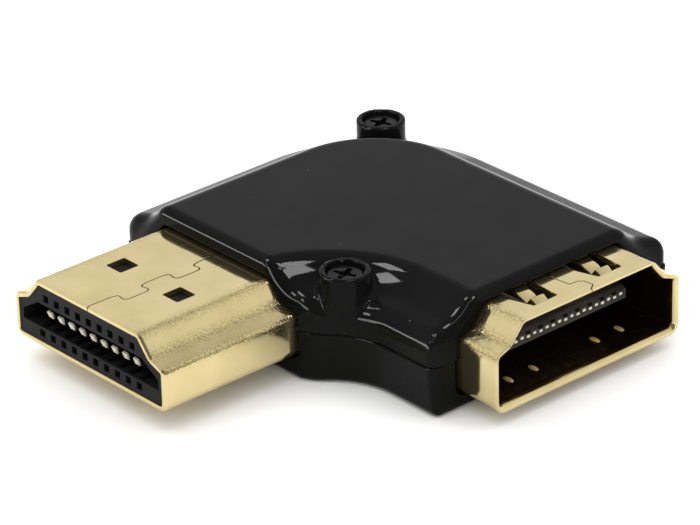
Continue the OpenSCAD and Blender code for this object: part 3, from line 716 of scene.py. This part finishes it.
def folded_receptacle():
    """The receptacle's tube of sheet, whose lip flares round the mouth, less two windows and
    a seam."""
    lip = [(JACK_TIP + d, step) for d, step in LIP_SECTION]
    profile = np.array([(JACK_ROOT, 0), (JACK_FACE, 0), *lip, (JACK_ROOT, -SHEET)])
    obj = folded_tube("receptacle_shell_folded", JACK_CORNERS, profile, along_x, lip_flare)
    cut_away(obj, [spring_window(y) for y in SPRING_Y] + [jack_seam()])
    return obj


def ring_angles():
    """Even angles once round, in radians."""
    return np.linspace(0, 2 * np.pi, RING_POINTS + 1)[:-1]


def leaf_spring(y):
    """One leaf spring of the narrow side: a strip with rounded edges along a bent side view
    that dips into the mouth and turns up again at its free end. Its section is a rounded
    rectangle, powers of the cosine across and of the sine up."""
    path = smooth_path(SPRING_LINE, BEND_STEPS, SPRING_EASE)
    d = np.gradient(path, axis=0)
    d /= np.linalg.norm(d, axis=1)[:, None]
    n = np.column_stack([-d[:, 1], d[:, 0]])
    cos, sin = np.cos(ring_angles()), np.sin(ring_angles())
    across = np.sign(cos) * np.abs(cos) ** ACROSS_POWER * SPRING_HALF_W
    up = np.sign(sin) * np.abs(sin) ** UP_POWER * SPRING_THICK / 2
    x = path[:, 0:1] + n[:, 0:1] * up + JACK_TIP
    height = path[:, 1:2] + n[:, 1:2] * up + AXIS_H + JACK_H / 2
    points = np.stack([x, np.broadcast_to(y + SPRING_ASIDE + across, x.shape), height], -1).reshape(-1, 3)
    rows = len(path)
    ends = [list(range(RING_POINTS)), list(range((rows - 1) * RING_POINTS, rows * RING_POINTS))]
    return new_object("spring", closed_mesh("spring", points, open_grid(rows, RING_POINTS) + ends))


def raised_spot(y):
    """A shallow oval spot pressed up out of the wide side: rings of an ellipse that shrink by
    the cosine while they rise by the sine, closed by one point on top."""
    middle = np.array([JACK_TIP - SPOT_BACK, y, AXIS_H - JACK_H / 2 + SHEET - SPOT_SUNK])
    t = np.radians(np.linspace(0, 90, SPOT_ROWS))[:-1, None]
    along = SPOT_LONG * np.cos(t) * np.cos(ring_angles())
    across = SPOT_WIDE * np.cos(t) * np.sin(ring_angles())
    rise = np.broadcast_to(SPOT_RISE * np.sin(t), along.shape)
    rings = np.stack([along, across, rise], -1).reshape(-1, 3)
    points = middle + np.vstack([rings, (0, 0, SPOT_RISE)])
    last = np.arange(len(rings) - RING_POINTS, len(rings))
    fan = np.column_stack([last, np.roll(last, -1), np.full(RING_POINTS, len(rings))])
    faces = open_grid(SPOT_ROWS - 1, RING_POINTS) + [list(range(RING_POINTS))] + fan.tolist()
    return new_object("dimple", closed_mesh("dimple", points, faces))


def tone_receptacle(mesh):
    """Gives two sorts of faces a material of their own. One looks towards the centre line and
    lies behind the lip and below the springs, where little light gets in; its much darker
    gold is painted shade. The other lies within SPOT_REACH of SPOT_MIDDLE, on either side:
    there are only the raised spots."""
    mesh.materials.append(gold_inside_painted_shade)
    mesh.materials.append(gold_dimple)
    normal, centre = np.empty(3 * len(mesh.polygons)), np.empty(3 * len(mesh.polygons))
    mesh.polygons.foreach_get("normal", normal)
    mesh.polygons.foreach_get("center", centre)
    normal = normal.reshape(-1, 3)
    x, y, z = (centre.reshape(-1, 3) / MM - (JACK_TIP, 0, AXIS_H)).T
    inward = (normal[:, 1] * y + normal[:, 2] * z < 0) & (np.abs(normal[:, 0]) < SHADE_FACING)
    shaded = inward & (x < -SHADE_BACK) & (z < SHADE_TOP)
    away = np.abs(np.stack([x, np.abs(y), z], -1) - SPOT_MIDDLE)
    spots = (away < SPOT_REACH).all(1)
    mesh.polygons.foreach_set("material_index", np.where(spots, 2, shaded).astype(np.int32))
    mesh.update()


def receptacle_shell_piece():
    """The receptacle's shell with its leaf springs and raised spots, as one piece."""
    parts = [folded_receptacle()]
    parts += [leaf_spring(y) for y in SPRING_Y]
    parts += [raised_spot(y) for y in SPOT_Y]
    obj = join("receptacle_shell_formed", parts)
    smooth_faces(obj.data)
    place_piece(obj, gold_along_jack, "receptacle_shell")
    tone_receptacle(obj.data)


receptacle_shell_piece()


# the housing in plan: the raised top's edge turns round two centres, the rims lie outside it

INNER_C, INNER_TOP_R = (12.05, -13.92), 7.72
OUTER_C, OUTER_TOP_R = (0.6, 0.05), 5.95
INNER_RIM, OUTER_RIM, LIP = 3.27, 3.83, 0.08
BOSSES = ((8.635, -9.22), (-5.249, 6.107))
BOSS_R, BORE_R, HEAD_SEAT = 1.54, 1.16, 6.1
MOUTH_GAP = 0.15
PLUG_LOOP = rounded_loop(PLUG_CORNERS, CORNER_RADII, 4)[0]
JACK_LOOP = rounded_loop(JACK_CORNERS, CORNER_RADII, 4)[0]

# its section, from the raised top outwards and down, with angles in degrees
SLOPE_OUT, SLOPE_DROP = 0.8, 1.1
SHOULDER_FALL, SHOULDER_DROP = 17.5, 0.55
WALL_LEAN = 6.2
BOSS_PROUD, BOSS_RUNOUT, BOSS_GROWTH = 0.2, 2.3, 1.1

# the radii that soften its edges
TOP_R, HOLLOW_R, SHOULDER_R, FOOT_R = 0.5, 0.6, 0.95, 0.5
PLUG_END_R, JACK_END_R, UPPER_END_R, LOWER_END_R = 1.15, 0.6, 0.65, 0.4
UPPER_JOINT_R, LOWER_JOINT_R, HOLE_R = 0.07, 0.08, 0.06
BOSS_TOP_R, BOSS_WALL_R = 0.13, 0.08
FILLET_SHARE, FILLET_LEAST, FILLET_MOST = 0.55, 0.02, 0.42

# the grid that finds its skin
GRID = 0.14
GRADIENT_STEP = 0.004
PULLS, LEAST_SLOPE = 3, 0.2


def round_max(a, b, r):
    """The larger of two distances, with the edge where they meet rounded by r: where both
    come closer than r to the edge, the distance is that from a circle of this radius."""
    both = np.hypot(np.maximum(a + r, 0), np.maximum(b + r, 0)) - r
    return np.where((a > -r) & (b > -r), both, np.maximum(a, b))


def round_min(a, b, r):
    """The smaller of two distances, with the hollow where they meet filled by r."""
    return -round_max(-a, -b, r)


def loop_distance(a, b, loop):
    """Distance of the points (a, b) from a closed outline, negative inside it.

    The nearest point on each side is found by its share along the side, held between 0
    and 1. A point is inside when a ray from it crosses an odd number of sides.
    """
    a, b = np.broadcast_arrays(a, b)
    best = np.full(a.shape, 1e9)
    odd = np.zeros(a.shape, bool)
    for (x0, y0), (x1, y1) in zip(loop, np.roll(loop, -1, 0)):
        dx, dy = x1 - x0, y1 - y0
        t = np.clip(((a - x0) * dx + (b - y0) * dy) / (dx * dx + dy * dy + 1e-12), 0, 1)
        best = np.minimum(best, (a - x0 - t * dx) ** 2 + (b - y0 - t * dy) ** 2)
        if y0 != y1:
            odd ^= ((y0 > b) != (y1 > b)) & (a < (x1 - x0) * (b - y0) / (y1 - y0) + x0)
    return np.sqrt(best) * np.where(odd, -1, 1)


def beyond_top(x, y):
    """How far a place in plan lies beyond the raised top's edge: on the outer sides of the L
    from the outer corner's centre, on its inner sides towards the inner corner's centre."""
    across, along = OUTER_C[0] - x, y - OUTER_C[1]
    outer = np.where((across > 0) & (along > 0), np.hypot(across, along), np.maximum(across, along))
    inner = np.hypot(np.maximum(INNER_C[0] - x, 0), np.maximum(y - INNER_C[1], 0))
    return outer - OUTER_TOP_R, INNER_TOP_R - inner


def side_form(x, y, wall):
    """The side wall cut off at both end faces, with upright edges rounded."""
    side = round_max(wall, PLUG_FACE - y, PLUG_END_R)
    return round_max(side, x - JACK_FACE, JACK_END_R)


def beyond_ends(x, y):
    """How far a place lies beyond the nearer of the two end faces."""
    return np.maximum(PLUG_FACE - y, x - JACK_FACE)


def mouths(x, y, z):
    """Distance from the room that the two connectors take in the housing."""
    plug = np.maximum(loop_distance(x, z - AXIS_H, PLUG_LOOP) - MOUTH_GAP, y - PLUG_ROOT)
    jack = np.maximum(loop_distance(y, z - AXIS_H, JACK_LOOP) - MOUTH_GAP, JACK_ROOT - x)
    return np.minimum(plug, jack)


def boss(x, y, top, wall, place):
    """A round boss up to the raised top. Its front runs down into the side wall: it stands
    proud of the wall near the top and by nothing at the shoulder's height, with an even
    change of slope between."""
    barrel = np.hypot(x - place[0], y - place[1]) - BOSS_R
    rise = np.clip((top + BOSS_RUNOUT) / BOSS_GROWTH, 0, 1)
    proud = BOSS_PROUD * rise * rise * (3 - 2 * rise)
    return round_max(round_max(barrel, top, BOSS_TOP_R), wall - proud, BOSS_WALL_R)


def bore(x, y, z, place):
    """Distance from the room of a screw's head, from its seat upwards."""
    return np.maximum(np.hypot(x - place[0], y - place[1]) - BORE_R, HEAD_SEAT - z)


def upper_field(x, y, z):
    """Distance from the upper half's skin. In section, outwards from the raised top's edge:
    the flat top and a steep slope make one convex form, a shoulder that falls gently
    and the side wall make another, and a hollow joins the two. The bosses grow out of it
    with a fillet that fades towards the wall, and both end faces are rounded over."""
    outer, inner = beyond_top(x, y)
    beyond = np.maximum(outer, inner)
    top = z - BODY_H
    slope = (beyond * SLOPE_DROP + top * SLOPE_OUT) / math.hypot(SLOPE_DROP, SLOPE_OUT)
    fall = math.radians(SHOULDER_FALL)
    shoulder = (beyond - SLOPE_OUT) * math.sin(fall) + (top + SLOPE_DROP) * math.cos(fall)
    shoulder = np.maximum(shoulder, top + SHOULDER_DROP)
    wall = np.maximum(outer - OUTER_RIM, inner - INNER_RIM) + LIP
    raised = round_max(top, slope, TOP_R)
    body = round_min(raised, round_max(shoulder, side_form(x, y, wall), SHOULDER_R), HOLLOW_R)
    fillet = np.clip(-FILLET_SHARE * wall, FILLET_LEAST, FILLET_MOST)
    for place in BOSSES:
        body = round_min(body, boss(x, y, top, wall, place), fillet)
    body = round_max(body, beyond_ends(x, y), UPPER_END_R)
    body = round_max(body, JOINT_H - z, UPPER_JOINT_R)
    for place in BOSSES:
        body = round_max(body, -bore(x, y, z, place), HOLE_R)
    return round_max(body, -mouths(x, y, z), HOLE_R)


def lower_field(x, y, z):
    """Distance from the lower half's skin: leaning side walls, a rounded bottom edge, both
    end faces rounded over."""
    outer, inner = beyond_top(x, y)
    lean = math.radians(WALL_LEAN)
    wall = np.maximum(outer - OUTER_RIM, inner - INNER_RIM) * math.cos(lean) + (JOINT_H - z) * math.sin(lean)
    body = round_max(side_form(x, y, wall), -z, FOOT_R)
    body = round_max(body, beyond_ends(x, y), LOWER_END_R)
    body = round_max(body, z - JOINT_H, LOWER_JOINT_R)
    return round_max(body, -mouths(x, y, z), HOLE_R)


def surface_net(field, low, high):
    """Points and four-cornered faces close to the surface on which a field is zero.

    On a regular grid each cell that the surface passes gets one point, the mean of the
    crossings on the cell's edges, and each grid edge that is crossed gets one face from
    its four cells.
    """
    axes = [np.arange(a - 1.5 * GRID, b + 2 * GRID, GRID) for a, b in zip(low, high)]
    f = field(axes[0][:, None, None], axes[1][None, :, None], axes[2][None, None, :])
    shape = np.array(f.shape) - 1
    total, count, quads = np.zeros((shape.prod(), 3)), np.zeros(shape.prod()), []
    for axis in range(3):
        near, far = [slice(None)] * 3, [slice(None)] * 3
        near[axis], far[axis] = slice(0, -1), slice(1, None)
        a, b = f[tuple(near)], f[tuple(far)]
        edge = np.argwhere((a < 0) != (b < 0))
        va, vb = a[tuple(edge.T)], b[tuple(edge.T)]
        place = edge.astype(float)
        place[:, axis] += va / (va - vb)
        second, third = (axis + 1) % 3, (axis + 2) % 3
        cells = []
        for s, t in ((0, 0), (1, 0), (1, 1), (0, 1)):
            cell = edge.copy()
            cell[:, second] -= s
            cell[:, third] -= t
            flat = np.ravel_multi_index(tuple(cell.T), shape)
            cells.append(flat)
            count += np.bincount(flat, minlength=len(count))
            for k in range(3):
                total[:, k] += np.bincount(flat, place[:, k], minlength=len(count))
        quad = np.stack(cells, -1)
        quads.append(np.where((va < 0)[:, None], quad, quad[:, ::-1]))
    used = np.flatnonzero(count)
    number = np.full(len(count), -1)
    number[used] = np.arange(len(used))
    points = total[used] / count[used][:, None] * GRID + np.array([a[0] for a in axes])
    return points, number[np.vstack(quads)]


def gradient(field, p):
    """How fast the field grows along x, y and z, from its values on both sides of a point."""
    g = np.empty_like(p)
    for k in range(3):
        d = np.zeros(3)
        d[k] = GRADIENT_STEP
        g[:, k] = (field(*(p + d).T) - field(*(p - d).T)) / (2 * GRADIENT_STEP)
    return g


def pull_onto(field, points):
    """Moves points onto the surface: each step is the field's value over its slope, along
    its gradient, and no longer than half a grid cell."""
    for _ in range(PULLS):
        g = gradient(field, points)
        size = np.maximum((g * g).sum(1), LEAST_SLOPE)
        move = -(field(*points.T) / size)[:, None] * g
        length = np.linalg.norm(move, axis=1)[:, None]
        points = points + move * np.minimum(1, 0.5 * GRID / np.maximum(length, 1e-9))
    return points


def cast_piece(name, field, low_z, high_z, replaces):
    """One half of the housing: the surface on which its field is zero, with the field's
    gradient as its normals and no point outside the solids' box."""
    low = (OUTER_C[0] - OUTER_TOP_R - OUTER_RIM, PLUG_FACE, low_z)
    high = (JACK_FACE, OUTER_C[1] + OUTER_TOP_R + OUTER_RIM, high_z)
    points, faces = surface_net(field, low, high)
    points = np.clip(pull_onto(field, points), low, high)
    normals = gradient(field, points)
    normals /= np.maximum(np.linalg.norm(normals, axis=1), 1e-6)[:, None]
    points = np.clip(points, np.array(cad_low) / MM, np.array(cad_high) / MM)
    mesh = mesh_from_arrays(name, points, faces)
    mesh.polygons.foreach_set("use_smooth", np.ones(len(mesh.polygons), bool))
    mesh.normals_split_custom_set_from_vertices(normals.tolist())
    place_piece(new_object(name, mesh), black_lacquer, replaces)


cast_piece("upper_casting", upper_field, JOINT_H, BODY_H, "upper_shell")
cast_piece("lower_casting", lower_field, 0, JOINT_H, "lower_shell")


# solids that stay in the picture

def solid_finish(name):
    """The material of a solid, by its name."""
    if "contact" in name:
        return gold_tip_painted_light_and_shade if name.startswith("plug") else gold_contact
    if name in ("plug_insulator", "plug_spacer"):
        return black_moulding
    if name == "receptacle_insulator":
        return brown_moulding
    return green_board if name == "circuit_board" else black_oxide


for node_name, node in nodes.items():
    if not node.hide_render:
        set_material(node, solid_finish(node_name))


# camera, lamps and surroundings

def camera_at(azimuth, elevation, roll, distance, aside, above, lens):
    """A camera that looks along its own -z. Its axes are right, up and back for this azimuth
    and elevation, turned by the roll; it stands at distance back from the point where the
    connectors' centre lines cross, shifted aside and above along its own axes."""
    a, e, r = map(math.radians, (azimuth, elevation, roll))
    right = Vector((math.cos(a), math.sin(a), 0))
    back = Vector((math.cos(e) * math.sin(a), -math.cos(e) * math.cos(a), math.sin(e)))
    up = back.cross(right)
    x = right * math.cos(r) + up * math.sin(r)
    y = up * math.cos(r) - right * math.sin(r)
    place = (x * aside + y * above + back * distance + Vector((0, 0, AXIS_H))) * MM
    data = bpy.data.cameras.new("camera")
    data.sensor_width, data.lens = 36, lens
    data.clip_start, data.clip_end = 0.01, 10
    obj = new_object("camera", data)
    obj.matrix_world = Matrix.Translation(place) @ Matrix((x, y, back)).transposed().to_4x4()
    bpy.context.scene.camera = obj


camera_at(azimuth=48.979, elevation=26.905, roll=-1.448, distance=245.624, aside=-0.92, above=-2.317,
          lens=207.544)

# places and sizes of the lamps and the floor, in metres
PART_MIDDLE = Vector((0.003, -0.003, 0.004))
GLINT_DISTANCE = 0.5
MIRRORS = bpy.data.collections.new("mirrors")
for obj in bpy.context.scene.objects:
    if "casting" in obj.name or "screw" in obj.name:
        MIRRORS.objects.link(obj)


def softbox(name, toward, distance, width, height, power):
    """A rectangular lamp that faces the middle of the part from this direction."""
    data = bpy.data.lights.new(name, "AREA")
    data.shape, data.size, data.size_y = "RECTANGLE", width, height
    data.energy = power
    obj = new_object(name, data)
    direction = Vector(toward).normalized()
    obj.location = PART_MIDDLE + direction * distance
    obj.rotation_mode = "QUATERNION"
    obj.rotation_quaternion = direction.to_track_quat("Z", "Y")
    return obj


def heading(azimuth, elevation):
    """A direction from its azimuth from x towards y and its elevation, in degrees."""
    a, e = math.radians(azimuth), math.radians(elevation)
    return (math.cos(e) * math.cos(a), math.cos(e) * math.sin(a), math.sin(e))


def glint(name, azimuth, elevation, width, height, glow, roll=0.0):
    """A lamp that only the glossy skin of the housing and its screws mirrors, as bright as
    glow times the background, turned about its own direction by roll."""
    power = glow * math.pi * width * height
    obj = softbox(name, heading(azimuth, elevation), GLINT_DISTANCE, width, height, power)
    obj.rotation_quaternion = obj.rotation_quaternion @ Quaternion((0, 0, 1), math.radians(roll))
    obj.visible_diffuse = False
    obj.light_linking.receiver_collection = MIRRORS


top_lamp = softbox("top_softbox", (-0.25, 0.15, 1.0), distance=0.45, width=0.95, height=0.85, power=2.6)
top_lamp.visible_glossy = False
glint("right_lamp", azimuth=-4, elevation=65, width=0.15, height=0.15, glow=50)
glint("left_lamp", azimuth=-128, elevation=58, width=0.13, height=0.13, glow=50)
glint("low_lamp", azimuth=-104, elevation=30, width=0.07, height=0.07, glow=50)
glint("edge_strip", azimuth=-114, elevation=6, width=0.48, height=0.08, glow=34)
glint("end_strip", azimuth=-38, elevation=43, width=0.3, height=0.035, glow=26, roll=42)

WHITE = (1.0, 1.0, 1.0)
FLOOR_HALF, FLOOR_DROP = 1.5, 0.00002
CAMERA_SIDE = (0.75, -0.66, -0.1)


def pale_floor():
    """A wide matt floor just under the part, in two close tones."""
    s = FLOOR_HALF
    mesh = bpy.data.meshes.new("floor")
    mesh.from_pydata([(-s, -s, 0), (s, -s, 0), (s, s, 0), (-s, s, 0)], [], [(0, 1, 2, 3)])
    obj = new_object("floor", mesh)
    obj.location = (0, 0, -FLOOR_DROP)
    material, tree, shader, place = new_material("pale_floor")
    grain = add(tree, "ShaderNodeTexNoise", Vector=place, Scale=40.0)
    colour = two_tone(tree, grain.outputs[0], 0.3, 0.7, (0.955, 0.955, 0.955), (0.97, 0.97, 0.97))
    connect(tree, shader, Base_Color=colour)
    shader.inputs["Roughness"].default_value = 0.9
    shader.inputs["Specular IOR Level"].default_value = 0.0
    set_material(obj, material)


def studio_world():
    """White light from all round. What a glossy surface mirrors is a room instead: dark
    towards the camera's side and a little darker high up."""
    world = bpy.data.worlds.new("studio")
    bpy.context.scene.world = world
    world.use_nodes = True
    tree = world.node_tree
    glossy = add(tree, "ShaderNodeLightPath").outputs["Is Glossy Ray"]
    sky = add(tree, "ShaderNodeTexCoord").outputs["Generated"]
    front = add(tree, "ShaderNodeVectorMath", {"operation": "DOT_PRODUCT"}, i0=sky, i1=CAMERA_SIDE)
    walls = two_tone(tree, front.outputs["Value"], 0.1, 0.5, WHITE, (0.2, 0.2, 0.2))
    way = add(tree, "ShaderNodeSeparateXYZ", Vector=sky)
    ceiling = two_tone(tree, way.outputs["Z"], 0.68, 0.84, WHITE, (0.7, 0.7, 0.7))
    room = mix_colours(tree, 1.0, walls, ceiling, "MULTIPLY")
    background = tree.nodes["Background"]
    connect(tree, background, Color=mix_colours(tree, glossy, (*WHITE, 1), room))
    background.inputs["Strength"].default_value = 1.0


pale_floor()
studio_world()
bpy.context.scene.view_settings.view_transform = "Standard"
